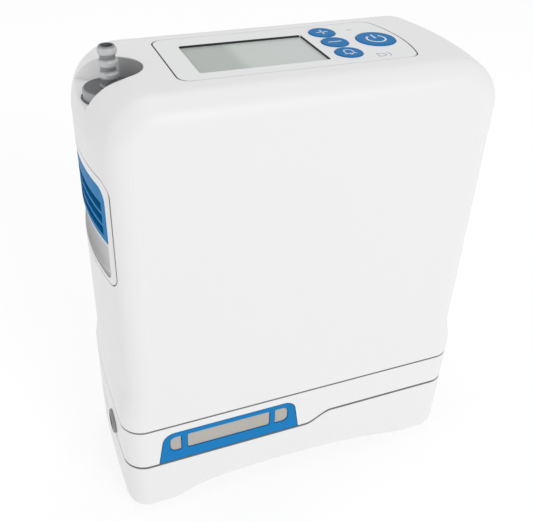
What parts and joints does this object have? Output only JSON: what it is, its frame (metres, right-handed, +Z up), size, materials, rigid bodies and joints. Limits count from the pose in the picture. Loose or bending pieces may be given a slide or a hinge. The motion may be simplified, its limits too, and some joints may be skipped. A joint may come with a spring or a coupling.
{
  "type": "portable oxygen concentrator",
  "caption": "Portable oxygen concentrator with a slide-off battery, press latch, top display and keys, barbed outlet nozzle, louvred intake filter cover and working inner parts",
  "frame": {"origin": "middle of the outline on the surface the device stands on", "axes": "+X along the case towards the exhaust grille, -X the nozzle and intake end, -Y the front with the latch, +Z up"},
  "size_m": [0.1532, 0.068, 0.1922],
  "materials": {
    "case_white": "fine-textured white moulded plastic",
    "label_white": "smooth satin overlay film",
    "lens": "clear display lens",
    "gasket_black": "black rubber",
    "lcd_grey": "grey-green display glass",
    "board_green": "solder-masked circuit board",
    "button_blue": "smooth blue keycap",
    "latch_blue": "blue moulded plastic",
    "cover_blue": "blue moulded plastic",
    "inlay_grey": "warm grey soft grip",
    "scoop_grey": "light grey moulded plastic",
    "led_clear": "diffusing light pipe",
    "nozzle_metal": "turned metal",
    "seal_rubber": "black rubber",
    "filter_felt": "white felt filter",
    "foam_grey": "open-cell filter foam",
    "duct_grey": "grey moulded plastic",
    "grille_grey": "grey moulded plastic",
    "inlet_dark": "dark grey moulded plastic",
    "contact_gold": "plated contact",
    "screw_steel": "zinc-plated steel",
    "spring_steel": "spring steel",
    "cell_wrap": "shrink-wrapped cell",
    "holder_black": "black moulded plastic",
    "nickel": "nickel strip",
    "column_alu": "drawn aluminium tube",
    "media_beige": "packed beads",
    "pump_alu": "cast aluminium",
    "motor_black": "black painted can",
    "valve_body": "machined aluminium",
    "tube_clear": "silicone tube",
    "sensor_blue": "moulded sensor body",
    "fan_black": "black moulded plastic"
  },
  "bodies": {
    "case": {"base_band": "case_white", "board_components": "holder_black", "case_screws": "screw_steel", "chassis": "duct_grey", "column_base": "valve_body", "column_caps": "valve_body", "compressor_body": "pump_alu", "compressor_cylinders": "pump_alu", "compressor_heads": "pump_alu", "control_label": "label_white", "dc_inlet": "inlet_dark", "dc_pin": "contact_gold", "device_contacts": "contact_gold", "display_board": "board_green", "display_window": "lens", "exhaust_grille": "grille_grey", "fan_frame": "fan_black", "filter_frame": "case_white", "intake_duct": "duct_grey", "latch_bracket": "duct_grey", "latch_springs": "spring_steel", "lcd_panel": "lcd_grey", "main_board": "board_green", "motor_housing": "motor_black", "nozzle_socket": "duct_grey", "outer_case": "case_white", "output_filter": "filter_felt", "oxygen_sensor": "sensor_blue", "power_board": "board_green", "product_tank": "column_alu", "pump_mounts": "seal_rubber", "scoop_cup": "scoop_grey", "sieve_columns": "column_alu", "sieve_media": "media_beige", "solenoid_valves": "motor_black", "status_led": "led_clear", "tact_switches": "holder_black", "tubing": "tube_clear", "valve_block": "valve_body", "window_gasket": "gasket_black"},
    "battery": {"battery_tub": "case_white", "battery_lid": "duct_grey", "battery_connector": "holder_black", "battery_cells": "cell_wrap", "cell_holder": "holder_black", "cell_tabs": "nickel", "battery_board": "board_green", "battery_screws": "screw_steel"},
    "latch": {"latch_plate": "latch_blue", "latch_pads": "inlay_grey"},
    "filter_cover": {"intake_cover": "cover_blue", "intake_foam": "foam_grey"},
    "nozzle": {"nozzle_fitting": "nozzle_metal", "nozzle_seal": "seal_rubber"},
    "fan": {"fan_rotor": "fan_black"},
    "pump_shaft": {"motor_rotor": "screw_steel"},
    "plus_key": {"button_plus": "button_blue"},
    "minus_key": {"button_minus": "button_blue"},
    "alert_key": {"button_alert": "button_blue"},
    "power_key": {"button_power": "button_blue"}
  },
  "joints": [
    {"name": "battery_slide", "type": "slide", "parent": "case", "child": "battery", "axis": [1, 0, 0], "range_m": [0, 0.075]},
    {"name": "latch_press", "type": "slide", "parent": "case", "child": "latch", "axis": [0, 1, 0], "range_m": [0, 0.0018], "stiffness_N_per_m": 1200, "springref_m": -0.0008, "deforming": ["latch_springs"]},
    {"name": "filter_cover_pull", "type": "slide", "parent": "case", "child": "filter_cover", "axis": [-1, 0, 0], "range_m": [0, 0.025]},
    {"name": "nozzle_lift", "type": "slide", "parent": "case", "child": "nozzle", "axis": [0, 0, 1], "range_m": [0, 0.02]},
    {"name": "fan_spin", "type": "hinge", "parent": "case", "child": "fan", "pos_m": [-0.0531, 0, 0.1425], "axis": [1, 0, 0], "continuous": true},
    {"name": "pump_spin", "type": "hinge", "parent": "case", "child": "pump_shaft", "pos_m": [0.028, -0.003, 0.1], "axis": [0, 0, 1], "continuous": true},
    {"name": "plus_press", "type": "slide", "parent": "case", "child": "plus_key", "axis": [0, 0, -1], "range_m": [0, 0.0006], "stiffness_N_per_m": 1500, "springref_m": -0.0004},
    {"name": "minus_press", "type": "slide", "parent": "case", "child": "minus_key", "axis": [0, 0, -1], "range_m": [0, 0.0006], "stiffness_N_per_m": 1500, "springref_m": -0.0004},
    {"name": "alert_press", "type": "slide", "parent": "case", "child": "alert_key", "axis": [0, 0, -1], "range_m": [0, 0.0006], "stiffness_N_per_m": 1500, "springref_m": -0.0004},
    {"name": "power_press", "type": "slide", "parent": "case", "child": "power_key", "axis": [0, 0, -1], "range_m": [0, 0.0006], "stiffness_N_per_m": 1500, "springref_m": -0.0004}
  ]
}
